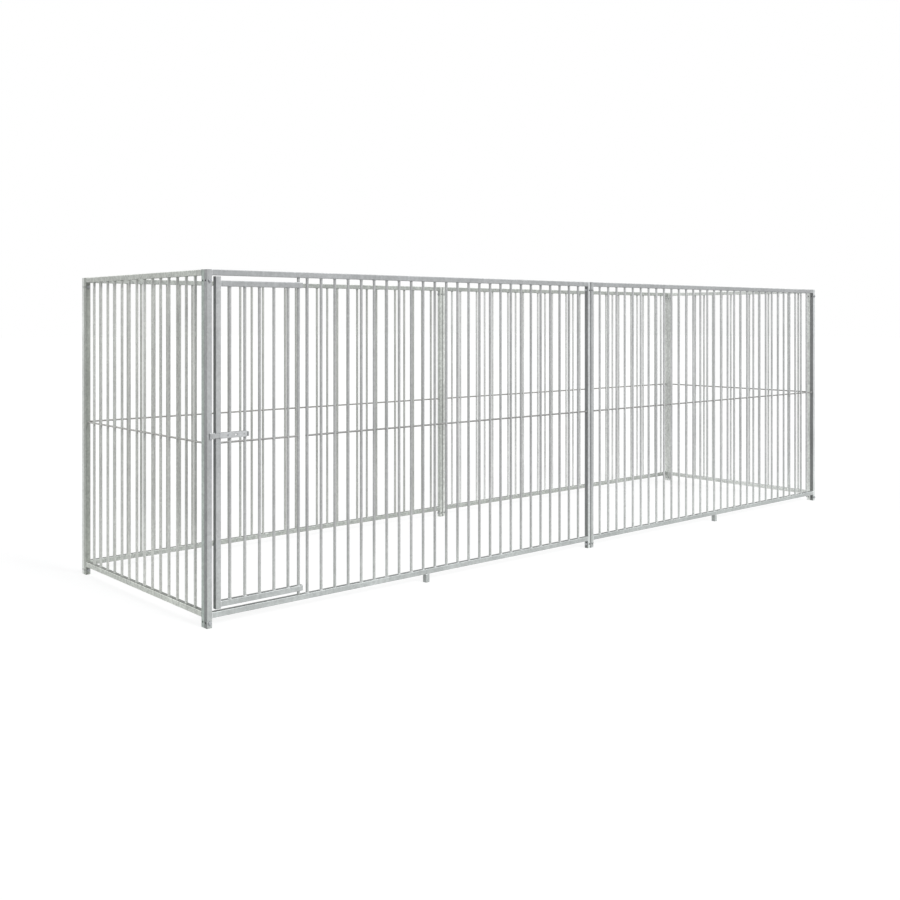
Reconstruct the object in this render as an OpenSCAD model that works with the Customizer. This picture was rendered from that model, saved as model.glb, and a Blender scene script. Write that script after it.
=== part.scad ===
// Outdoor dog run of galvanised bar panels, bolted together, with a pivoting door and a slide latch.
// The run stands on z = 0, its front wall faces -Y and its middle is at x = 0, y = 0.
// A panel is drawn from its own lower left corner: x along it, y from its outer face inwards.

/* [Run] */
// Length of each long panel, over its posts
long_panel = 3000; // [2000:50:4000]
// Length of each end panel, over its posts
end_panel = 1500; // [1000:50:3000]
// Height from the ground to the top of the frame
height = 1840; // [1400:10:2200]
// Height of the feet below the bottom rail
foot_h = 50; // [44:1:120]

/* [Square tube] */
// Outer side of the square tube
tube = 30; // [26:1:45]
// Wall of the square tube
tube_wall = 1.5; // [1:0.1:3]
// Outer corner radius of the square tube
tube_corner = 3; // [1.5:0.1:4]
// Thickness of the plates welded in the ends of the posts and feet
end_plate = 2; // [1.5:0.5:5]

/* [Bars] */
// Diameter of the upright bars
bar_d = 16; // [14:0.5:20]
// Wall of the upright bars
bar_wall = 1.5; // [1:0.1:2.5]
// Upright bars in a plain long panel
long_bars = 31; // [20:1:35]
// Upright bars beside the door in the door panel
side_bars = 25; // [14:1:28]
// Upright bars in an end panel
end_bars = 14; // [8:1:20]
// Diameter of the level rod threaded through the bars
rod_d = 10; // [6:0.5:11]
// Gap all round the rod in the holes of the bars
rod_play = 0.2; // [0.1:0.05:0.4]

/* [Door] */
// Distance from the post's inner face to the first fixed bar beside the door
door_zone = 600; // [550:5:900]
// Distance from the hinge axis to that bar
hinge_to_bar = 58; // [52:1:80]
// Gap between the post and the door's latch stile
latch_gap = 22; // [12:1:26]
// Gap between the door's bottom rail and the panel's bottom rail
sill_gap = 20; // [14:1:40]
// Gap between the door's top rail and the panel's top rail
head_gap = 26; // [24:1:60]
// How far the stile stands above the door's top rail
stile_rise = 21; // [0:1:22]
// How far the stile reaches below the door's bottom rail
stile_drop = 9; // [0:1:12]
// Upright bars in the door
door_bars_count = 5; // [3:1:8]
// Clear gap between the door's outer bars and its sides
door_edge_gap = 52; // [30:1:60]
// How far the door's rails run past the hinge axis
hinge_overhang = 20; // [16:1:34]
// Gap all round the hinge bar in the panel's rails, and under its foot
hinge_play = 0.3; // [0.2:0.05:0.6]
// How far the hinge bar reaches into the top rail's hollow
hinge_reach = 15; // [5:1:20]
// Gap all round the hinge bar in the door's own rails, before welding
weld_play = 0.1; // [0.05:0.05:0.3]

/* [Latch] */
// Height of the latch's middle above the level rod
latch_rise = 39; // [24:1:60]
// Height of the flat sliding bolt
slide_h = 24; // [18:1:32]
// Thickness of the flat sliding bolt
slide_t = 5; // [4:0.5:8]
// Gap round the sliding bolt in its guide and keeper
latch_play = 0.4; // [0.3:0.05:0.8]
// Thickness of the guide and keeper plates
plate_t = 3; // [2:0.5:4]
// Outer radius of the bends in the guide and keeper plates
plate_bend = 3; // [1:0.5:5]
// How far the bolt reaches across the post when it is shot
slide_lap = 12; // [8:1:14]
// How far the bolt draws back
slide_travel = 40; // [32:1:42]
// How far the guide laps the stile
guide_lap = 10; // [6:1:16]
// Radius of the rounded corners at the bolt's tip
tip_corner = 4; // [1:0.5:8]
// Gap between the guide's end and the bend of the bolt's tail
tail_gap = 1; // [1:1:20]
// How far the finger tab stands out from the bolt
tab_out = 9; // [8:1:20]
// Inner radius of the bend between the bolt and its finger tab
tab_bend = 3; // [1:0.5:4]
// Distance from the guide's end to the guide rivet
rivet_in = 46; // [46:1:52]
// Diameter of the guide rivet
rivet_d = 6; // [4:0.5:7]
// Diameter of the guide rivet's heads
rivet_head_d = 11; // [9:0.5:13]
// Thickness of the guide rivet's heads
rivet_head_t = 2; // [1.5:0.5:3]
// Distance from the guide's end to the padlock hole
padlock_in = 96; // [80:1:110]
// Diameter of the padlock hole
padlock_d = 12; // [8:0.5:14]
// Distance from the guide's end to the small drain hole
drain_in = 142; // [125:1:145]
// Diameter of the small drain hole
drain_d = 5; // [3:0.5:7]
// How far the keeper reaches across the post
keeper_lap = 17; // [14:1:20]
// How far the keeper stands past the post
keeper_over = 12; // [4:1:13]

/* [Fasteners] */
// Diameter of the bolts that join the panels
bolt_d = 10; // [8:1:12]
// Gap round each bolt in the posts
bolt_play = 0.5; // [0.25:0.05:1]
// Height of the lower bolts above the ground
bolt_low = 28; // [20:1:32]
// Distance of the upper bolts below the top
bolt_drop = 57; // [50:1:120]
// Width of the hexagons across their flats
hex_flats = 16; // [13:1:19]
// Thickness of the bolt heads
head_t = 6.4; // [5:0.1:8]
// Thickness of the nuts
nut_t = 8; // [6:0.5:10]
// Gap round each bolt in its nut and washers
nut_play = 0.05; // [0.02:0.01:0.1]
// Outer diameter of the washers
washer_d = 20; // [18:1:24]
// Thickness of the washers
washer_t = 2; // [1:0.1:3]
// Length of thread past each nut
stub = 3; // [1:0.5:10]

/* [Hidden] */
$fn = 48;
// Overrun of a cut past the face that it opens
cut = 1;

zinc_front = [0.72, 0.74, 0.75];
zinc_back = [0.77, 0.79, 0.76];
zinc_bolt = [0.78, 0.79, 0.80];

half_depth = end_panel / 2 + tube;
mid = tube / 2;
bars_from = foot_h + tube;
bars_to = height - tube;
rod_z = (bars_from + bars_to) / 2;

first_side_bar = tube + door_zone;
hinge_x = first_side_bar - hinge_to_bar;
stile_x = tube + latch_gap;
door_from_x = stile_x + tube;
door_to_x = hinge_x + hinge_overhang;
door_from = bars_from + sill_gap;
door_to = bars_to - head_gap;
door_bars_from = door_from + tube;
door_bars_to = door_to - tube;

latch_z = rod_z + latch_rise;
bar_face = (tube - bar_d) / 2;
slide_front = -latch_play - slide_t;
plate_front = slide_front - latch_play - plate_t;
channel_h = slide_h + 2 * latch_play + 2 * plate_t;
guide_x = door_from_x - guide_lap;
rivet_x = guide_x + rivet_in;
padlock_x = guide_x + padlock_in;
drain_x = guide_x + drain_in;
slot_w = rivet_d + 2 * latch_play;
tip_x = tube - slide_lap;

bolt_heights = [bolt_low, height - bolt_drop];
bolt_hole_d = bolt_d + 2 * bolt_play;
nut_hole_d = bolt_d + 2 * nut_play;
bolt_grip = 2 * tube;
hex_d = hex_flats / cos(30);

LONG_PANELS = ["front_left", "front_right", "back_left", "back_right"];
FOOTED_PANELS = ["front_left", "front_right"];
END_PANELS = ["left_end", "right_end"];
LONG_PIECES = ["left_post", "right_post", "top_rail", "bottom_rail", "bars", "mid_rod"];
END_PIECES = ["front_post", "back_post", "top_rail", "bottom_rail", "bars", "mid_rod"];

// Centres of bars that stand at equal gaps between two faces
function even_bars(from, to, count) =
    let (gap = (to - from - count * bar_d) / (count + 1))
    [for (k = [0 : count - 1]) from + gap + bar_d / 2 + k * (gap + bar_d)];

// Centres of bars that start at a given bar and end at equal gaps before a face
function bars_after(first, to, count) =
    let (pitch = (to - first + bar_d / 2) / count)
    [for (k = [0 : count - 1]) first + k * pitch];

// Centres of bars with a set gap at both ends and equal pitches between
function edged_bars(from, to, count, edge) =
    let (first = from + edge + bar_d / 2, last = to - edge - bar_d / 2)
    [for (k = [0 : count - 1]) first + k * (last - first) / (count - 1)];

function is_end(p) = p == "left_end" || p == "right_end";
function panel_length(p) = is_end(p) ? end_panel : long_panel;
function panel_bars(p) =
    p == "front_left" ? bars_after(first_side_bar, long_panel - tube, side_bars)
    : even_bars(tube, panel_length(p) - tube, is_end(p) ? end_bars : long_bars);
function zinc(p) = p == "front_left" || p == "front_right" ? zinc_front : zinc_back;

door_bar_x = edged_bars(door_from_x, hinge_x - bar_d / 2, door_bars_count, door_edge_gap);
guide_end_x = door_bar_x[1];
tail_x = guide_end_x + tail_gap + tab_bend + slide_t;

// Puts a panel's pieces where the panel stands in the run
module in_place(p) {
    if (p == "front_left") translate([-long_panel, -half_depth, 0]) children();
    if (p == "front_right") translate([0, -half_depth, 0]) children();
    if (p == "back_left") translate([-long_panel, half_depth, 0]) mirror([0, 1, 0]) children();
    if (p == "back_right") translate([0, half_depth, 0]) mirror([0, 1, 0]) children();
    if (p == "left_end") translate([-long_panel, tube - half_depth, 0]) mirror([1, 0, 0]) rotate(90) children();
    if (p == "right_end") translate([long_panel, tube - half_depth, 0]) rotate(90) children();
}

module rounded_square(side, r) {
    translate([r, 0]) square([side - 2 * r, side]);
    translate([0, r]) square([side, side - 2 * r]);
    if (r > 0)
        for (x = [r, side - r])
            for (y = [r, side - r])
                translate([x, y]) circle(r);
}

// Hollow of the square tube, with the wall alike all round its bends
module tube_hollow() {
    translate([tube_wall, tube_wall])
        rounded_square(tube - 2 * tube_wall, max(tube_corner - tube_wall, 0));
}

// Upright square tube, with a plate in its lower end, its upper end or both
module upright_tube(length, lower, upper) {
    from = lower ? end_plate : -cut;
    to = upper ? length - end_plate : length + cut;
    difference() {
        linear_extrude(length) rounded_square(tube, tube_corner);
        translate([0, 0, from]) linear_extrude(to - from) tube_hollow();
    }
}

// Level square tube along x with open ends
module level_tube(length) {
    rotate([90, 0, 90]) linear_extrude(length) difference() {
        rounded_square(tube, tube_corner);
        tube_hollow();
    }
}

module along_x(d, length) rotate([0, 90, 0]) cylinder(d = d, h = length);
module along_y(d, length) rotate([-90, 0, 0]) cylinder(d = d, h = length);

// Round tubes of one height, drilled for the level rod
module drilled_bars(centres, from, to) {
    difference() {
        for (x = centres)
            translate([x, mid, from]) linear_extrude(to - from) difference() {
                circle(d = bar_d);
                circle(d = bar_d - 2 * bar_wall);
            }
        translate([centres[0] - bar_d, mid, rod_z])
            along_x(rod_d + 2 * rod_play, centres[len(centres) - 1] - centres[0] + 2 * bar_d);
    }
}

module post(p) {
    color(zinc(p)) difference() {
        upright_tube(height, true, true);
        for (z = bolt_heights) {
            translate([-cut, mid, z]) along_x(bolt_hole_d, tube + 2 * cut);
            translate([mid, -cut, z]) along_y(bolt_hole_d, tube + 2 * cut);
        }
    }
}

module near_post(p) post(p);

module far_post(p) translate([panel_length(p) - tube, 0, 0]) post(p);

// Hole for the hinge bar through one wall of a rail
module hinge_hole(z) translate([hinge_x, mid, z]) cylinder(d = bar_d + 2 * hinge_play, h = tube_wall + 2 * cut);

module top_rail(p) {
    color(zinc(p)) difference() {
        translate([tube, 0, bars_to]) level_tube(panel_length(p) - 2 * tube);
        if (p == "front_left") hinge_hole(bars_to - cut);
    }
}

module bottom_rail(p) {
    color(zinc(p)) difference() {
        translate([tube, 0, foot_h]) level_tube(panel_length(p) - 2 * tube);
        if (p == "front_left") hinge_hole(bars_from - tube_wall - cut);
    }
}

module bars(p) color(zinc(p)) drilled_bars(panel_bars(p), bars_from, bars_to);

// The rod butts on both posts, and in the door panel it starts at the first bar beside the door
module mid_rod(p) {
    from = p == "front_left" ? first_side_bar - bar_d / 2 : tube;
    color(zinc(p)) translate([from, mid, rod_z]) along_x(rod_d, panel_length(p) - tube - from);
}

module mid_foot(p) {
    color(zinc(p)) translate([panel_length(p) / 2 - mid, 0, 0]) upright_tube(foot_h, true, false);
}

// The stile is capped at its top and open at its lower end, so that water runs out
module door_latch_stile() {
    color(zinc_front) translate([stile_x, 0, door_from - stile_drop])
        upright_tube(door_to - door_from + stile_drop + stile_rise, false, true);
}

// Door rail that butts on the stile and is drilled for the hinge bar
module door_rail(z) {
    color(zinc_front) difference() {
        translate([door_from_x, 0, z]) level_tube(door_to_x - door_from_x);
        translate([hinge_x, mid, z - cut]) cylinder(d = bar_d + 2 * weld_play, h = tube + 2 * cut);
    }
}

module door_top_rail() door_rail(door_bars_to);

module door_bottom_rail() door_rail(door_from);

module door_bars() color(zinc_front) drilled_bars(door_bar_x, door_bars_from, door_bars_to);

// The hinge bar stands inside the panel's bottom rail and ends inside its top rail
module door_hinge_bar() {
    color(zinc_front)
        drilled_bars([hinge_x], foot_h + tube_wall + hinge_play, bars_to + tube_wall + hinge_reach);
}

module door_mid_rod() {
    color(zinc_front) translate([door_from_x, mid, rod_z])
        along_x(rod_d, hinge_x + bar_d / 2 - door_from_x);
}

// Bent plate that holds the sliding bolt: a front wall with two flanges back to a face
module channel(from, to, face) {
    depth = face - plate_front;
    translate([from, plate_front, latch_z - channel_h / 2])
        rotate([90, 0, 90]) linear_extrude(to - from) difference() {
            union() {
                translate([plate_bend, 0]) square([depth - plate_bend, channel_h]);
                translate([0, plate_bend]) square([depth, channel_h - 2 * plate_bend]);
                for (z = [plate_bend, channel_h - plate_bend]) translate([plate_bend, z]) circle(plate_bend);
            }
            translate([plate_t, plate_t]) square([depth, channel_h - 2 * plate_t]);
        }
}

// Hole through the front plate of the guide
module guide_hole(x, d) translate([x, plate_front - cut, latch_z]) along_y(d, plate_t + 2 * cut);

// The guide's flanges reach the door's bars, and are cut back where they lap the stile
module latch_guide() {
    color(zinc_front) difference() {
        channel(guide_x, guide_end_x, bar_face);
        translate([guide_x - cut, 0, latch_z - channel_h / 2 - cut])
            cube([guide_lap + cut, bar_face + cut, channel_h + 2 * cut]);
        guide_hole(rivet_x, rivet_d + 2 * nut_play);
        guide_hole(padlock_x, padlock_d);
        guide_hole(drain_x, drain_d);
    }
}

// Rivet with a head in front of the guide and one behind the bolt
module latch_rivet() {
    color(zinc_bolt) translate([rivet_x, 0, latch_z]) {
        translate([0, plate_front - rivet_head_t, 0]) along_y(rivet_head_d, rivet_head_t);
        translate([0, plate_front - cut, 0]) along_y(rivet_d, cut - plate_front);
        along_y(rivet_head_d, rivet_head_t);
    }
}

// Plan of the flat bolt, with its tail bent outwards as a finger tab
module bolt_plan() {
    bend_x = tail_x - slide_t - tab_bend;
    translate([tip_x, slide_front]) square([bend_x - tip_x, slide_t]);
    translate([bend_x, slide_front - tab_bend]) intersection() {
        difference() {
            circle(tab_bend + slide_t);
            circle(tab_bend);
        }
        square(tab_bend + slide_t);
    }
    translate([tail_x - slide_t, slide_front - tab_out]) square([slide_t, tab_out - tab_bend]);
}

// Front view of the flat bolt, with rounded corners at its tip
module bolt_front() {
    translate([tip_x + tip_corner, 0]) square([tail_x - tip_x - tip_corner, slide_h]);
    translate([tip_x, tip_corner]) square([tail_x - tip_x, slide_h - 2 * tip_corner]);
    for (z = [tip_corner, slide_h - tip_corner]) translate([tip_x + tip_corner, z]) circle(tip_corner);
}

// The bolt has a slot for the rivet and a padlock hole that lines up with the guide's when it is shot
module latch_bolt() {
    color(zinc_front) difference() {
        translate([0, 0, latch_z - slide_h / 2]) intersection() {
            linear_extrude(slide_h) bolt_plan();
            rotate([90, 0, 0]) linear_extrude(tab_out - slide_front) bolt_front();
        }
        translate([0, slide_front - cut, latch_z]) {
            for (x = [rivet_x - slide_travel, rivet_x])
                translate([x, 0, 0]) along_y(slot_w, slide_t + 2 * cut);
            translate([rivet_x - slide_travel, 0, -slot_w / 2]) cube([slide_travel, slide_t + 2 * cut, slot_w]);
            translate([padlock_x, 0, 0]) along_y(padlock_d, slide_t + 2 * cut);
        }
    }
}

module latch_keeper() color(zinc_front) channel(tube - keeper_lap, tube + keeper_over, 0);

// Places of the bolts: through the posts at each corner, and through the paired posts at each middle
module at_joints() {
    for (z = bolt_heights) {
        for (x = [mid - long_panel, long_panel - mid]) {
            translate([x, -half_depth, z]) rotate([-90, 0, 0]) children();
            translate([x, half_depth, z]) rotate([90, 0, 0]) children();
        }
        for (y = [mid - half_depth, half_depth - mid])
            translate([-tube, y, z]) rotate([0, 90, 0]) children();
    }
}

module joint_bolts() {
    color(zinc_bolt) at_joints() {
        translate([0, 0, -washer_t - head_t]) cylinder(d = hex_d, h = head_t, $fn = 6);
        translate([0, 0, -washer_t - cut])
            cylinder(d = bolt_d, h = cut + washer_t + bolt_grip + washer_t + nut_t + stub);
    }
}

module joint_washers() {
    color(zinc_bolt) at_joints()
        for (z = [-washer_t, bolt_grip])
            translate([0, 0, z]) linear_extrude(washer_t) difference() {
                circle(d = washer_d);
                circle(d = nut_hole_d);
            }
}

module joint_nuts() {
    color(zinc_bolt) at_joints()
        translate([0, 0, bolt_grip + washer_t]) linear_extrude(nut_t) difference() {
            circle(d = hex_d, $fn = 6);
            circle(d = nut_hole_d);
        }
}

for (p = LONG_PANELS) {
    in_place(p) near_post(p);
    in_place(p) far_post(p);
}
for (p = FOOTED_PANELS)
    in_place(p) mid_foot(p);
for (p = END_PANELS) {
    in_place(p) near_post(p);
    in_place(p) far_post(p);
}
for (p = concat(LONG_PANELS, END_PANELS)) {
    in_place(p) top_rail(p);
    in_place(p) bottom_rail(p);
    in_place(p) bars(p);
    in_place(p) mid_rod(p);
}
in_place("front_left") door_latch_stile();
in_place("front_left") door_top_rail();
in_place("front_left") door_bottom_rail();
in_place("front_left") door_bars();
in_place("front_left") door_hinge_bar();
in_place("front_left") door_mid_rod();
in_place("front_left") latch_guide();
in_place("front_left") latch_rivet();
in_place("front_left") latch_bolt();
in_place("front_left") latch_keeper();
joint_bolts();
joint_washers();
joint_nuts();
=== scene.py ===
"""Looks of an outdoor dog run: galvanised bar panels, weld beads, fasteners, studio floor and camera."""

import math
import random

import bpy
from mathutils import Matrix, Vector


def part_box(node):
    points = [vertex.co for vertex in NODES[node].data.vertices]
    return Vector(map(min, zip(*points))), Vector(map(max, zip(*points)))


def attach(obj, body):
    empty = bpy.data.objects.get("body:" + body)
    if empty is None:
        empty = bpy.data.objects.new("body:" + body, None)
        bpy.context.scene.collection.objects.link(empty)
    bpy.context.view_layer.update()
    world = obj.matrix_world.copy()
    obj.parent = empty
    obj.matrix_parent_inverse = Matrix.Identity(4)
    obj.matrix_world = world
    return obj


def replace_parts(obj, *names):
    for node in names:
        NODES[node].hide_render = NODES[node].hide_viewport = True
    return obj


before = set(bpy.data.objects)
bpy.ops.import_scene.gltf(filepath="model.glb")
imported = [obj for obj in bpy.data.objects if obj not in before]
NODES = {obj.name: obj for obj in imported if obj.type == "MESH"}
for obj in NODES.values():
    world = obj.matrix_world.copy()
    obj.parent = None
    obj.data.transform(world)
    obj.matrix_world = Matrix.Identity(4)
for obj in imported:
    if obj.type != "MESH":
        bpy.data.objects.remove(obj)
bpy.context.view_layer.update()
random.seed(8014)
X, Y, Z = Vector((1, 0, 0)), Vector((0, 1, 0)), Vector((0, 0, 1))

# Sizes in metres, as in the solids
TUBE = 0.030
TUBE_CORNER = 0.003
BAR_R = 0.008
ROD_R = 0.005
BOLT_R = 0.005
HEX_FLATS = 0.016
HEAD_T = 0.0064
NUT_T = 0.008
WASHER_R = 0.010
WASHER_T = 0.002
STUB = 0.003
LONG_PANELS = ("front_left", "front_right", "back_left", "back_right")
END_PANELS = ("left_end", "right_end")
BAR_COUNTS = {"front_left_bars": 25, "left_end_bars": 14, "right_end_bars": 14, "door_bars": 5}
PLAIN_BARS = 31

# Zinc pattern: scales per metre, tones as factors, and the spans of noise over which the tones run
SPANGLE_SCALE = 85.0
WANDER_SCALE = 45.0
WANDER = (0.012, 0.012, 0.012)
NOISE_ROUGHNESS = 0.55
CLOUD_SCALE = 3.2
CLOUD_DETAIL = 4.0
CLOUD_TONES = (0.90, 1.09)
CLOUD_SPAN = (0.32, 0.68)
RUN_SCALE = (38, 38, 1.6)
RUN_TONES = (0.94, 1.05)
RUN_SPAN = (0.33, 0.67)
SKIN_SCALE = 420.0
SKIN_DEPTH = 0.0005
CELL_SHARE = 0.6

# Zinc tones and painted light and shade: heights in metres, slopes as parts of the normal, and distance from
# the middle joint
FOOT_HEIGHTS = (0.05, 0.60)
CAST_HEIGHTS = (0.05, 0.50)
DUST_AND_SHADE_HEIGHTS = (0.2, 1.2)
DUST_AND_SHADE_SLOPES = (0.60, 0.95)
EDGE_START = (0.08, 0.25)
EDGE_END = (0.60, 0.85)
LEFT_HEIGHTS = (0.2, 1.4)
LEFT_SLOPES = (-0.85, -0.45)
SEAM_SPAN = (0.0020, 0.0070)
FOOT_CAST = (-0.025, 0.0, -0.030)
NO_CAST = (0.0, 0.0, 0.0)


class Graph:
    """Adds shader nodes and links them in a few words."""

    def __init__(self, tree):
        self.tree = tree
        tree.nodes.clear()

    def add(self, kind, **values):
        """A new node. Each keyword names one of its settings, or else an input, with _ for a space."""
        node = self.tree.nodes.new(kind)
        for name, value in values.items():
            if hasattr(node, name):
                setattr(node, name, value)
            else:
                node.inputs[name.replace("_", " ")].default_value = value
        return node

    def link(self, source, target):
        self.tree.links.new(source, target)

    def math(self, operation, *values):
        """Result of an operation on numbers and sockets."""
        node = self.add("ShaderNodeMath", operation=operation)
        for socket, value in zip(node.inputs, values):
            if isinstance(value, (int, float)):
                socket.default_value = value
            else:
                self.link(value, socket)
        return node.outputs[0]

    def product(self, first, *others):
        for other in others:
            first = self.math("MULTIPLY", first, other)
        return first

    def less(self, share, loss):
        """The tone that is left where a share of the surface has a loss."""
        return self.math("SUBTRACT", 1.0, self.math("MULTIPLY", share, loss))

    def spread(self, source, tones, span=(0.0, 1.0)):
        """Tones that run from the first to the second over a span of values, and hold past its ends."""
        node = self.add("ShaderNodeMapRange", clamp=True, From_Min=span[0], From_Max=span[1],
                        To_Min=tones[0], To_Max=tones[1])
        self.link(source, node.inputs["Value"])
        return node.outputs["Result"]

    def noise(self, vector, scale, detail=3.0):
        node = self.add("ShaderNodeTexNoise", Scale=scale, Detail=detail, Roughness=NOISE_ROUGHNESS)
        self.link(vector, node.inputs["Vector"])
        return node.outputs["Fac"]

    def mapped(self, vector, scale=(1, 1, 1), location=(0, 0, 0)):
        node = self.add("ShaderNodeMapping", Scale=scale, Location=location)
        self.link(vector, node.inputs["Vector"])
        return node.outputs["Vector"]

    def split(self, vector):
        """The X, Y and Z of a vector."""
        node = self.add("ShaderNodeSeparateXYZ")
        self.link(vector, node.inputs["Vector"])
        return node.outputs


def crystals(g, here):
    """Spangle cells with wandering edges: three random values for each, and the distance from its middle."""
    wander = g.add("ShaderNodeTexNoise", Scale=WANDER_SCALE)
    g.link(here, wander.inputs["Vector"])
    bent = g.add("ShaderNodeVectorMath", operation="MULTIPLY_ADD")
    g.link(wander.outputs["Color"], bent.inputs[0])
    bent.inputs[1].default_value = WANDER
    g.link(here, bent.inputs[2])
    cells = g.add("ShaderNodeTexVoronoi", Scale=SPANGLE_SCALE)
    g.link(bent.outputs["Vector"], cells.inputs["Vector"])
    crystal = g.add("ShaderNodeSeparateColor")
    g.link(cells.outputs["Color"], crystal.inputs["Color"])
    return crystal.outputs, cells.outputs["Distance"]


def tones_and_painted_light(g, here, spot, foot, top_dust_and_shade_loss, edge_highlight_gain, seam_shade_tone, left_side_shade):
    """Tone by place and slope: clouds, runs, lighter towards the foot, dust and painted shade on upward
    faces, a painted highlight on rounded edges, painted shade in the middle joint's seam and painted shade on
    left sides.
    """
    facing = g.split(g.add("ShaderNodeNewGeometry").outputs["Normal"])
    clouds = g.spread(g.noise(here, CLOUD_SCALE, CLOUD_DETAIL), CLOUD_TONES, CLOUD_SPAN)
    runs = g.spread(g.noise(g.mapped(here, RUN_SCALE), 1.0), RUN_TONES, RUN_SPAN)
    feet = g.spread(spot["Z"], (foot, 1.0), FOOT_HEIGHTS)
    # Dust and painted shade on upward faces, by default darker lower down
    level = g.spread(facing["Z"], (0.0, 1.0), DUST_AND_SHADE_SLOPES)
    dust_and_top_shade = g.less(level, g.spread(spot["Z"], top_dust_and_shade_loss, DUST_AND_SHADE_HEIGHTS))
    # Painted highlight on rounded edges and slopes turned partly upward
    past_start = g.spread(facing["Z"], (0.0, edge_highlight_gain), EDGE_START)
    before_end = g.spread(facing["Z"], (1.0, 0.0), EDGE_END)
    tone_with_painted_light = g.math("ADD", 1.0, g.product(past_start, before_end))
    # Painted shade along the seam where the middle posts meet
    painted_seam_shade = g.spread(g.math("ABSOLUTE", spot["X"]), (seam_shade_tone, 1.0), SEAM_SPAN)
    # Painted shade on faces turned to the left, set by height
    leftward = g.spread(facing["X"], (1.0, 0.0), LEFT_SLOPES)
    left = g.less(leftward, g.spread(spot["Z"], left_side_shade, LEFT_HEIGHTS))
    return g.product(clouds, runs, feet, dust_and_top_shade, tone_with_painted_light, painted_seam_shade, left)


def galvanised(name, colour, place, spangle=0.08, rough=(0.40, 0.62), metal=(0.0, 0.16), grain=0.30,
               cast=NO_CAST, foot=1.24, top_dust_and_shade_loss=(0.55, 0.15), edge_highlight_gain=0.80, seam_shade_tone=0.35,
               left_side_shade=(0.0, 0.0)):
    """Hot-dip zinc: crystal spangle, random tones with painted light and shade, a cast of colour towards the
    foot and a fine skin.
    """
    material = bpy.data.materials.new(name)
    material.use_nodes = True
    g = Graph(material.node_tree)
    out = g.add("ShaderNodeOutputMaterial")
    shader = g.add("ShaderNodeBsdfPrincipled")
    g.link(shader.outputs["BSDF"], out.inputs["Surface"])
    coords = g.add("ShaderNodeTexCoord").outputs["Object"]
    here = g.mapped(coords, location=place)
    spot = g.split(coords)
    crystal, cell_distance = crystals(g, here)

    facets = g.spread(crystal["Red"], (1 - spangle, 1 + spangle))
    tone_with_painted_light = tones_and_painted_light(g, here, spot, foot, top_dust_and_shade_loss, edge_highlight_gain, seam_shade_tone, left_side_shade)
    tint = g.add("ShaderNodeVectorMath", operation="MULTIPLY_ADD")
    g.link(g.spread(spot["Z"], (1.0, 0.0), CAST_HEIGHTS), tint.inputs[0])
    tint.inputs[1].default_value = [c * k for c, k in zip(colour, cast)]
    tint.inputs[2].default_value = colour
    tinted = g.add("ShaderNodeVectorMath", operation="SCALE")
    g.link(tint.outputs["Vector"], tinted.inputs[0])
    g.link(g.product(facets, tone_with_painted_light), tinted.inputs["Scale"])
    g.link(tinted.outputs["Vector"], shader.inputs["Base Color"])

    g.link(g.spread(crystal["Green"], rough), shader.inputs["Roughness"])
    g.link(g.spread(crystal["Blue"], metal), shader.inputs["Metallic"])
    skin = g.math("ADD", g.noise(here, SKIN_SCALE), g.math("MULTIPLY", cell_distance, CELL_SHARE))
    bump = g.add("ShaderNodeBump", Strength=grain, Distance=SKIN_DEPTH)
    g.link(skin, bump.inputs["Height"])
    g.link(bump.outputs["Normal"], shader.inputs["Normal"])
    return material
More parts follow.
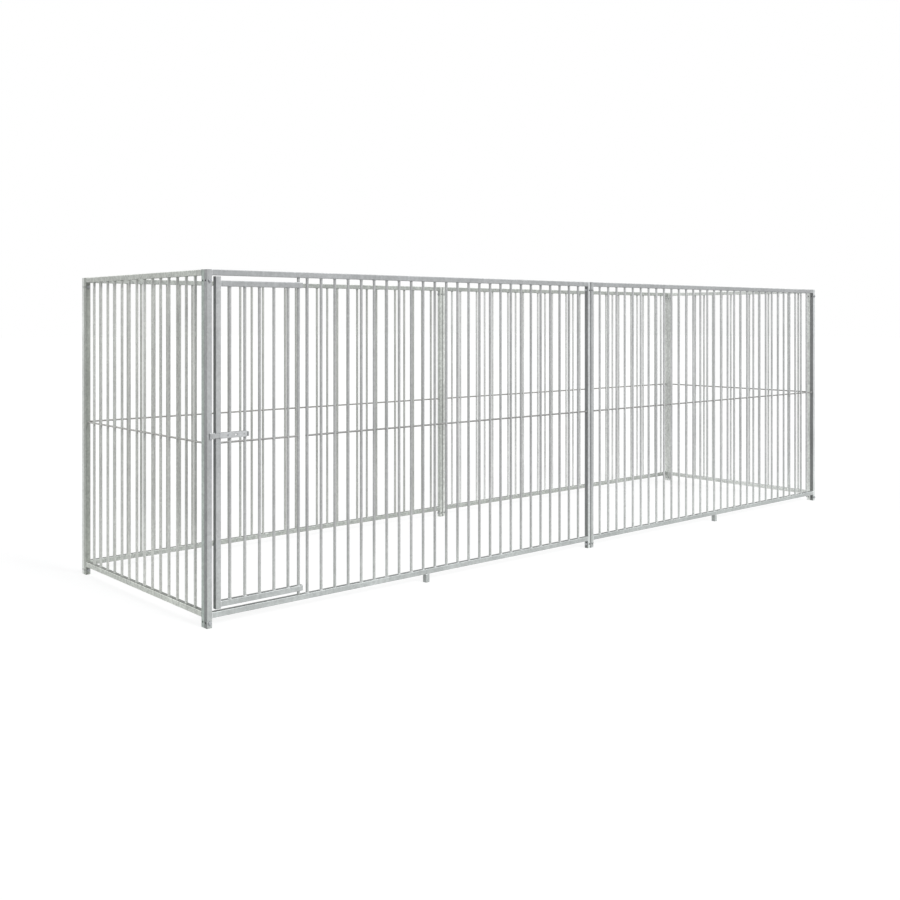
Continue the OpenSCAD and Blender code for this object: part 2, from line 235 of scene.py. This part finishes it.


# Each finish: its colour as linear light, its place in the pattern, and where it is unlike plain zinc. Most
# colours are lighter and darker copies of one zinc, with painted light and shade for how light falls on each
# panel, post, rod and bead
BEAD_LOOK = dict(spangle=0.22, rough=(0.45, 0.7), grain=0.8)
FINISHES = {
    "front_left": dict(colour=(0.428, 0.438, 0.442), place=(0.0, 0.0, 0.0), cast=FOOT_CAST),
    "corner_post": dict(colour=(0.470, 0.480, 0.483), place=(5.1, 0.3, 0.8), cast=FOOT_CAST, foot=1.08,
                        left_side_shade=(0.48, 0.18)),
    "pale_post": dict(colour=(0.622, 0.636, 0.640), place=(5.1, 0.3, 0.8), cast=FOOT_CAST, seam_shade_tone=0.10,
                      left_side_shade=(0.63, 0.63)),
    "stile": dict(colour=(0.512, 0.523, 0.526), place=(5.1, 0.3, 0.8), cast=FOOT_CAST, foot=1.0,
                  left_side_shade=(0.18, 0.18)),
    "front_left_bars": dict(colour=(0.465, 0.471, 0.468), place=(1.3, 0.2, 0.4), cast=FOOT_CAST),
    "front_right": dict(colour=(0.412, 0.422, 0.425), place=(2.1, 0.7, 0.1), cast=FOOT_CAST, seam_shade_tone=0.10),
    "joint_post": dict(colour=(0.478, 0.490, 0.493), place=(2.1, 0.7, 0.1), cast=FOOT_CAST, seam_shade_tone=0.10),
    "front_right_bars": dict(colour=(0.585, 0.593, 0.588), place=(3.7, 0.3, 0.9), cast=FOOT_CAST),
    "left_end": dict(colour=(0.562, 0.584, 0.540), place=(4.2, 1.1, 0.6), spangle=0.16),
    "left_front_post": dict(colour=(0.445, 0.500, 0.466), place=(4.2, 1.1, 0.6), spangle=0.12, foot=1.08),
    "left_end_bars": dict(colour=(0.635, 0.648, 0.614), place=(6.4, 0.8, 0.3)),
    "right_end": dict(colour=(0.780, 0.802, 0.768), place=(8.1, 0.2, 0.9), spangle=0.16),
    "right_end_bars": dict(colour=(0.720, 0.732, 0.716), place=(3.3, 0.1, 0.5)),
    "back": dict(colour=(0.430, 0.450, 0.422), place=(5.9, 0.5, 0.2), spangle=0.16),
    "back_left_posts": dict(colour=(0.570, 0.592, 0.556), place=(6.3, 0.9, 0.4), spangle=0.16),
    "back_right_posts": dict(colour=(0.740, 0.762, 0.726), place=(6.3, 0.9, 0.4), spangle=0.16),
    "rear_corner_post": dict(colour=(0.780, 0.800, 0.768), place=(6.3, 0.9, 0.4)),
    "shaded_post": dict(colour=(0.390, 0.410, 0.374), place=(4.2, 1.1, 0.6), spangle=0.12),
    "latch": dict(colour=(0.545, 0.556, 0.562), place=(0.4, 0.8, 0.3), edge_highlight_gain=0.0, top_dust_and_shade_loss=(0.6, 0.6)),
    "back_left_bars": dict(colour=(0.500, 0.512, 0.484), place=(2.6, 0.9, 0.3)),
    "back_right_bars": dict(colour=(0.700, 0.710, 0.692), place=(7.2, 0.4, 0.7)),
    "door_rod": dict(colour=(0.275, 0.272, 0.266), place=(0.9, 0.6, 0.1)),
    "front_rod": dict(colour=(0.240, 0.238, 0.232), place=(0.7, 0.3, 0.2)),
    "left_end_rod": dict(colour=(0.365, 0.358, 0.340), place=(1.7, 0.5, 0.8)),
    "rear_rod": dict(colour=(0.260, 0.255, 0.242), place=(1.7, 0.5, 0.8)),
    "weld": dict(colour=(0.640, 0.652, 0.656), place=(7.5, 0.6, 0.7), **BEAD_LOOK),
    "rear_weld": dict(colour=(0.430, 0.450, 0.422), place=(8.5, 0.1, 0.5), **BEAD_LOOK),
    "plated": dict(colour=(0.400, 0.410, 0.420), place=(9.1, 0.4, 0.8), spangle=0.06, rough=(0.42, 0.58),
                   metal=(0.25, 0.45)),
}
ZINC = {key: galvanised("zinc_" + key, **finish) for key, finish in FINISHES.items()}
OWN_FINISH = {
    "front_left_left_post": "corner_post",
    "front_left_right_post": "pale_post",
    "front_right_left_post": "joint_post",
    "front_right_right_post": "pale_post",
    "back_left_left_post": "rear_corner_post",
    "left_end_back_post": "shaded_post",
    "left_end_front_post": "left_front_post",
    "left_end_mid_rod": "left_end_rod",
    "door_latch_stile": "stile",
    "door_mid_rod": "door_rod",
    "latch_guide": "latch",
    "latch_bolt": "stile",
    "latch_rivet": "plated",
}


def zinc_for(node):
    """The finish of a CAD node: its own, or the one of its panel and of its kind of piece."""
    if node in OWN_FINISH:
        return ZINC[OWN_FINISH[node]]
    if node.startswith("joint_"):
        return ZINC["plated"]
    if node.endswith("_mid_rod"):
        return ZINC["front_rod" if node.startswith("front_") else "rear_rod"]
    panel = "front_left" if node.startswith(("door_", "latch_")) else "_".join(node.split("_")[:2])
    if node.endswith(("_bars", "hinge_bar")):
        return ZINC[panel + "_bars"]
    if panel.startswith("back"):
        return ZINC[panel + "_posts" if node.endswith("_post") else "back"]
    return ZINC[panel]


for node_name, cad in NODES.items():
    cad.data.materials.clear()
    cad.data.materials.append(zinc_for(node_name))

# Weld beads in metres: radius, distance of the middle off the metal, and distance in from an end
BAR_BEAD = 0.0020
RAIL_BEAD = 0.0016
ROD_BEAD = 0.0013
LATCH_BEAD = 0.0016
BAR_BEAD_OFF = 0.0006
ROD_BEAD_OFF = 0.0004
LATCH_BEAD_OFF = 0.0002
BAR_BEAD_IN = 0.0007
ROD_BEAD_IN = 0.0005
FOOT_BEAD_IN = 0.0005
PLATE_BEAD_IN = 0.001
BAR_LINE_HALF = 0.006

# Form of the beads: sides, ripple, and steps along them
BEAD_SIDES = 6
BEAD_ANGLES = [2 * math.pi * k / BEAD_SIDES for k in range(BEAD_SIDES)]
LOOP_RIPPLE = (0.86, 1.14)
LINE_RIPPLE = (0.88, 1.12)
LINE_PITCH = 0.0022
LINE_FEWEST = 4
LINE_END = 0.45
BAR_STEPS = 18
ROD_STEPS = 12
FLAT_STEPS = 7
LOW_END, HIGH_END = -1, 1


class Shape:
    """Collects the points and faces of one piece."""

    def __init__(self):
        self.points = []
        self.faces = []

    def rings(self, rings, closed=False):
        """Skins a row of rings of equal size; an open row gets a cap at each end."""
        first = len(self.points)
        size = len(rings[0])
        for ring in rings:
            self.points.extend(ring)
        spans = len(rings) if closed else len(rings) - 1
        for i in range(spans):
            a = first + i * size
            b = first + (i + 1) % len(rings) * size
            for k in range(size):
                m = (k + 1) % size
                self.faces.append((a + k, a + m, b + m, b + k))
        if not closed:
            last = first + (len(rings) - 1) * size
            self.faces.append(tuple(first + k for k in reversed(range(size))))
            self.faces.append(tuple(last + k for k in range(size)))

    def bead_loop(self, path, normal, radius):
        """A closed lumpy bead along a flat loop whose plane has the given normal."""
        count = len(path)
        rings = []
        for i, point in enumerate(path):
            along = (path[(i + 1) % count] - path[i - 1]).normalized()
            out = along.cross(normal)
            r = radius * random.uniform(*LOOP_RIPPLE)
            rings.append([point + r * (math.cos(a) * out + math.sin(a) * normal) for a in BEAD_ANGLES])
        self.rings(rings, closed=True)

    def bead_line(self, start, end, radius):
        """An open rippled bead between two points, narrowed at its ends."""
        start, end = Vector(start), Vector(end)
        along = (end - start).normalized()
        side = along.orthogonal().normalized()
        up = along.cross(side)
        count = max(LINE_FEWEST, round((end - start).length / LINE_PITCH))
        rings = []
        for i in range(count + 1):
            centre = start.lerp(end, i / count)
            r = radius * (LINE_END if i in (0, count) else random.uniform(*LINE_RIPPLE))
            rings.append([centre + r * (math.cos(a) * side + math.sin(a) * up) for a in BEAD_ANGLES])
        self.rings(rings)

    def piece(self, name, material, body, slot, smooth=True):
        mesh = bpy.data.meshes.new(name)
        mesh.from_pydata([tuple(p) for p in self.points], [], self.faces)
        mesh.validate()
        mesh.polygons.foreach_set("use_smooth", [smooth] * len(mesh.polygons))
        mesh.update()
        obj = bpy.data.objects.new(name, mesh)
        bpy.context.scene.collection.objects.link(obj)
        obj.data.materials.append(material)
        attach(obj, body)
        return obj


def circle_path(centre, radius, u, v, steps=BAR_STEPS):
    turns = [2 * math.pi * k / steps for k in range(steps)]
    return [centre + radius * (math.cos(t) * u + math.sin(t) * v) for t in turns]


def square_path(centre, u, v):
    """A loop round the square tube's rounded outline."""
    flat = TUBE / 2 - TUBE_CORNER
    signs = ((1, 1), (-1, 1), (-1, -1), (1, -1))

    def on_corner(k, turn):
        across, up = signs[k % 4]
        return across * flat + TUBE_CORNER * math.cos(turn), up * flat + TUBE_CORNER * math.sin(turn)

    path = []
    for k in range(4):
        path.extend(on_corner(k, math.pi / 2 * (k + j / 2)) for j in range(3))
        (x0, y0), (x1, y1) = path[-1], on_corner(k + 1, math.pi / 2 * (k + 1))
        for j in range(1, FLAT_STEPS):
            share = j / FLAT_STEPS
            path.append((x0 + (x1 - x0) * share, y0 + (y1 - y0) * share))
    return [centre + a * u + b * v for a, b in path]


def bar_centres(node):
    """The bars' middles at height zero, worked out from the node's box, and the heights of their ends."""
    low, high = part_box(node)
    count = BAR_COUNTS.get(node, PLAIN_BARS)
    first = low + Vector((BAR_R, BAR_R, 0))
    last = high - Vector((BAR_R, BAR_R, 0))
    first.z = last.z = 0.0
    return [first.lerp(last, k / (count - 1)) for k in range(count)], low.z, high.z


def end_spots(node, axis, ends, inset=0.0):
    """Middles of a node's ends along an axis, moved inwards by the inset."""
    low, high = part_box(node)
    centre = (low + high) / 2
    half = (high - low).dot(axis) / 2
    return [centre + axis * (end * (half - inset)) for end in ends]


def across(axis):
    """The level direction across a run."""
    return Y if axis == X else X


def bar_welds(shape, node):
    """A fillet bead round both ends of every bar of a node."""
    centres, low, high = bar_centres(node)
    for centre in centres:
        for z in (low + BAR_BEAD_IN, high - BAR_BEAD_IN):
            shape.bead_loop(circle_path(centre + z * Z, BAR_R + BAR_BEAD_OFF, X, Y), Z, BAR_BEAD)


def rod_welds(shape, node, axis, ends):
    """A small bead where a level rod butts on its post or stile."""
    for spot in end_spots(node, axis, ends, ROD_BEAD_IN):
        path = circle_path(spot, ROD_R + ROD_BEAD_OFF, across(axis), Z, ROD_STEPS)
        shape.bead_loop(path, axis, ROD_BEAD)


def rail_welds(shape, node, axis, ends):
    """A bead round the end of a rail, where it butts on a post or the stile."""
    for spot in end_spots(node, axis, ends):
        shape.bead_loop(square_path(spot, across(axis), Z), axis, RAIL_BEAD)


def plate_bead(shape, plate, tube, z):
    """A bead on the front of a tube along a latch plate's lower or upper edge."""
    plate_low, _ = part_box(plate)
    tube_low, tube_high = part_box(tube)
    y = tube_low.y - LATCH_BEAD_OFF
    shape.bead_line((plate_low.x + PLATE_BEAD_IN, y, z), (tube_high.x - TUBE_CORNER, y, z), LATCH_BEAD)


for panel in LONG_PANELS + END_PANELS:
    run = Y if panel in END_PANELS else X
    welds = Shape()
    bar_welds(welds, panel + "_bars")
    rod_welds(welds, panel + "_mid_rod", run, (HIGH_END,) if panel == "front_left" else (LOW_END, HIGH_END))
    for rail in ("_top_rail", "_bottom_rail"):
        rail_welds(welds, panel + rail, run, (LOW_END, HIGH_END))
    if panel + "_mid_foot" in NODES:
        for top in end_spots(panel + "_mid_foot", Z, (HIGH_END,), FOOT_BEAD_IN):
            welds.bead_loop(square_path(top, X, Y), Z, RAIL_BEAD)
    in_front = panel.startswith("front")
    finish = ZINC["weld" if in_front else "rear_weld"]
    welds.piece(panel + "_welds", finish, "frame", "galvanised_front" if in_front else "galvanised_rear")

# Welds of the door: bars, rails on the stile, hinge bar in the rails, rod, and the latch's guide
door_welds = Shape()
bar_welds(door_welds, "door_bars")
hinge_low, hinge_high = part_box("door_hinge_bar")
hinge = (hinge_low + hinge_high) / 2
for rail in ("door_top_rail", "door_bottom_rail"):
    rail_welds(door_welds, rail, X, (LOW_END,))
    rail_low, rail_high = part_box(rail)
    for z in (rail_low.z - BAR_BEAD_OFF, rail_high.z + BAR_BEAD_OFF):
        spot = Vector((hinge.x, hinge.y, z))
        door_welds.bead_loop(circle_path(spot, BAR_R + BAR_BEAD_OFF, X, Y), Z, BAR_BEAD)
rod_welds(door_welds, "door_mid_rod", X, (LOW_END,))
guide_low, guide_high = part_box("latch_guide")
for z in (guide_low.z, guide_high.z):
    plate_bead(door_welds, "latch_guide", "door_latch_stile", z)
    for bar in bar_centres("door_bars")[0][:2]:
        bar_end = min(bar.x + BAR_LINE_HALF, guide_high.x)
        door_welds.bead_line((bar.x - BAR_LINE_HALF, guide_high.y, z), (bar_end, guide_high.y, z), LATCH_BEAD)
door_welds.piece("door_welds", ZINC["weld"], "door", "galvanised_front")

keeper_low, keeper_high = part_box("latch_keeper")
keeper_welds = Shape()
for z in (keeper_low.z, keeper_high.z):
    plate_bead(keeper_welds, "latch_keeper", "front_left_left_post", z)
keeper_welds.piece("keeper_welds", ZINC["weld"], "frame", "galvanised_front")

# Hexagon bolts with chamfered heads and cut threads, and chamfered nuts
HEX_STEPS = 48
HEX_FACE_R = 0.94 * HEX_FLATS / 2
CHAMFER_R = 0.96 * HEX_FLATS / 2
CHAMFER_FALL = math.tan(math.radians(30))
HEAD_MIDDLE_R = 0.0004
THREAD_PITCH = 0.0015
THREAD_DEPTH = 0.0008
SHANK_SHORT = 0.001
TIP_BEVEL = 0.0005
TIP_EDGE_CUT = 0.0002
TIP_CUT = 0.0010
NUT_PLAY = 0.00005
COUNTERSINK = 0.0007


def hex_radius(turn):
    """Distance from the middle to a hexagon's edge in the direction of a turn."""
    sector = (turn + math.pi / 6) % (math.pi / 3) - math.pi / 6
    return HEX_FLATS / 2 / math.cos(sector)


def lathe_ring(origin, axes, height, radius_at):
    """A ring about the third axis; radius_at gives its radius and its extra height at a turn."""
    u, v, w = axes
    ring = []
    for k in range(HEX_STEPS):
        turn = 2 * math.pi * k / HEX_STEPS
        r, extra = radius_at(turn)
        ring.append(origin + w * (height + extra) + r * (math.cos(turn) * u + math.sin(turn) * v))
    return ring


def chamfered(turn, sign):
    """Radius of the hexagon and how far the chamfer cuts its edge back there."""
    r = hex_radius(turn)
    fall = max(0.0, r - CHAMFER_R) * CHAMFER_FALL
    return r, -sign * fall


def flat_ring(radius):
    return lambda turn: (radius, 0.0)


def bolt_shape(shape, origin, axes):
    """Head, shank and threaded end. The origin is on the post's face under the head's washer."""
    head_top = -WASHER_T - HEAD_T
    nut_end = 2 * TUBE + WASHER_T + NUT_T
    tip = nut_end + STUB
    rings = [
        lathe_ring(origin, axes, head_top, flat_ring(HEAD_MIDDLE_R)),
        lathe_ring(origin, axes, head_top, flat_ring(HEX_FACE_R)),
        lathe_ring(origin, axes, head_top, lambda t: chamfered(t, -1)),
        lathe_ring(origin, axes, -WASHER_T, lambda t: (hex_radius(t), 0.0)),
        lathe_ring(origin, axes, -WASHER_T, flat_ring(BOLT_R)),
        lathe_ring(origin, axes, nut_end - SHANK_SHORT, flat_ring(BOLT_R)),
    ]
    height = nut_end
    while height < tip - THREAD_PITCH / 2:
        rings.append(lathe_ring(origin, axes, height, flat_ring(BOLT_R)))
        rings.append(lathe_ring(origin, axes, height + THREAD_PITCH / 2, flat_ring(BOLT_R - THREAD_DEPTH)))
        height += THREAD_PITCH
    rings.append(lathe_ring(origin, axes, tip - TIP_BEVEL, flat_ring(BOLT_R - TIP_EDGE_CUT)))
    rings.append(lathe_ring(origin, axes, tip, flat_ring(BOLT_R - TIP_CUT)))
    shape.rings(rings)


def nut_shape(shape, origin, axes):
    """Nut with both faces chamfered and a countersunk bore."""
    low = 2 * TUBE + WASHER_T
    high = low + NUT_T
    bore = BOLT_R + NUT_PLAY
    shape.rings([
        lathe_ring(origin, axes, low, flat_ring(HEX_FACE_R)),
        lathe_ring(origin, axes, low, lambda t: chamfered(t, -1)),
        lathe_ring(origin, axes, high, lambda t: chamfered(t, 1)),
        lathe_ring(origin, axes, high, flat_ring(HEX_FACE_R)),
        lathe_ring(origin, axes, high, flat_ring(bore + COUNTERSINK)),
        lathe_ring(origin, axes, high - COUNTERSINK, flat_ring(bore)),
        lathe_ring(origin, axes, low + COUNTERSINK, flat_ring(bore)),
        lathe_ring(origin, axes, low, flat_ring(bore + COUNTERSINK)),
    ], closed=True)


washer_low, washer_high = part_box("joint_washers")
half_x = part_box("front_right_right_post")[1].x
half_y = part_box("back_left_left_post")[1].y
joints = []
for z in (washer_low.z + WASHER_R, washer_high.z - WASHER_R):
    for x in (TUBE / 2 - half_x, half_x - TUBE / 2):
        joints.append((Vector((x, -half_y, z)), (X, -Z, Y)))
        joints.append((Vector((x, half_y, z)), (X, Z, -Y)))
    for y in (TUBE / 2 - half_y, half_y - TUBE / 2):
        joints.append((Vector((-TUBE, y, z)), (Y, Z, X)))
bolts, nuts = Shape(), Shape()
for spot, axes in joints:
    bolt_shape(bolts, spot, axes)
    nut_shape(nuts, spot, axes)
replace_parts(bolts.piece("hex_bolts", ZINC["plated"], "frame", "zinc_plated", smooth=False), "joint_bolts")
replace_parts(nuts.piece("hex_nuts", ZINC["plated"], "frame", "zinc_plated", smooth=False), "joint_nuts")

# Studio: white floor and world, a key sun from the front and a weaker fill sun from the left rear
AMBIENT = 0.42
SKY_TINT = (0.96, 0.98, 1.0, 1.0)
WHITE = (1.0, 1.0, 1.0, 1.0)
FLOOR_SIZE = 160.0
FLOOR_DROP = 0.001
FLOOR_LIT = (0.60, 0.60, 0.60, 1.0)
FLOOR_SEEN = (0.26, 0.26, 0.26, 1.0)
FLOOR_GLOW = 0.82
scene = bpy.context.scene
scene.view_settings.view_transform = "Standard"


def show(g, out, unseen, seen):
    """Camera, mirror and clear rays meet the seen shader; diffuse light meets the unseen one."""
    path = g.add("ShaderNodeLightPath")
    glossy = g.math("MAXIMUM", path.outputs["Is Glossy Ray"], path.outputs["Is Transmission Ray"])
    mix = g.add("ShaderNodeMixShader")
    g.link(g.math("MAXIMUM", path.outputs["Is Camera Ray"], glossy), mix.inputs[0])
    g.link(unseen.outputs[0], mix.inputs[1])
    g.link(seen.outputs[0], mix.inputs[2])
    g.link(mix.outputs[0], out.inputs["Surface"])


def white_world():
    """White to the camera, and dimmer and a little blue as a light."""
    world = bpy.data.worlds.new("studio")
    world.use_nodes = True
    g = Graph(world.node_tree)
    dim = g.add("ShaderNodeBackground", Color=SKY_TINT, Strength=AMBIENT)
    white = g.add("ShaderNodeBackground", Color=WHITE, Strength=1.0)
    show(g, g.add("ShaderNodeOutputWorld"), dim, white)
    scene.world = world


def white_floor():
    """Pale matt floor that shows white to the camera, with the object's soft shadow on it."""
    half = FLOOR_SIZE / 2
    corners = [(-half, -half, 0), (half, -half, 0), (half, half, 0), (-half, half, 0)]
    mesh = bpy.data.meshes.new("floor")
    mesh.from_pydata(corners, [], [(0, 1, 2, 3)])
    floor = bpy.data.objects.new("floor", mesh)
    scene.collection.objects.link(floor)
    floor.location.z = -FLOOR_DROP
    material = bpy.data.materials.new("floor_white")
    material.use_nodes = True
    g = Graph(material.node_tree)
    pale = g.add("ShaderNodeBsdfDiffuse", Color=FLOOR_LIT)
    shaded = g.add("ShaderNodeBsdfDiffuse", Color=FLOOR_SEEN)
    glow = g.add("ShaderNodeEmission", Color=WHITE, Strength=FLOOR_GLOW)
    white = g.add("ShaderNodeAddShader")
    g.link(shaded.outputs[0], white.inputs[0])
    g.link(glow.outputs[0], white.inputs[1])
    show(g, g.add("ShaderNodeOutputMaterial"), pale, white)
    floor.data.materials.append(material)


def sun(name, towards, energy, spread):
    """A sun that stands in the given direction and spreads over an angle in degrees."""
    lamp = bpy.data.lights.new(name, "SUN")
    lamp.energy = energy
    lamp.angle = math.radians(spread)
    obj = bpy.data.objects.new(name, lamp)
    obj.rotation_mode = "QUATERNION"
    obj.rotation_quaternion = (-Vector(towards)).to_track_quat("-Z", "Y")
    scene.collection.objects.link(obj)


white_world()
white_floor()
sun("key", towards=(0.14, -0.80, 0.56), energy=1.9, spread=22.0)
sun("fill", towards=(-0.85, 0.35, 0.40), energy=0.8, spread=40.0)

# Camera at the photograph's place: level, at eye height, off the front left corner
camera_data = bpy.data.cameras.new("camera")
camera_data.sensor_width = 36.0
camera_data.lens = 42.43
camera_data.shift_x = 0.05
camera_data.shift_y = -0.1458
camera_data.clip_end = 400.0
camera = bpy.data.objects.new("camera", camera_data)
camera.location = (-5.709, -5.582, 1.586)
camera.rotation_euler = (math.radians(90), 0.0, math.radians(-40.0))
scene.collection.objects.link(camera)
scene.camera = camera
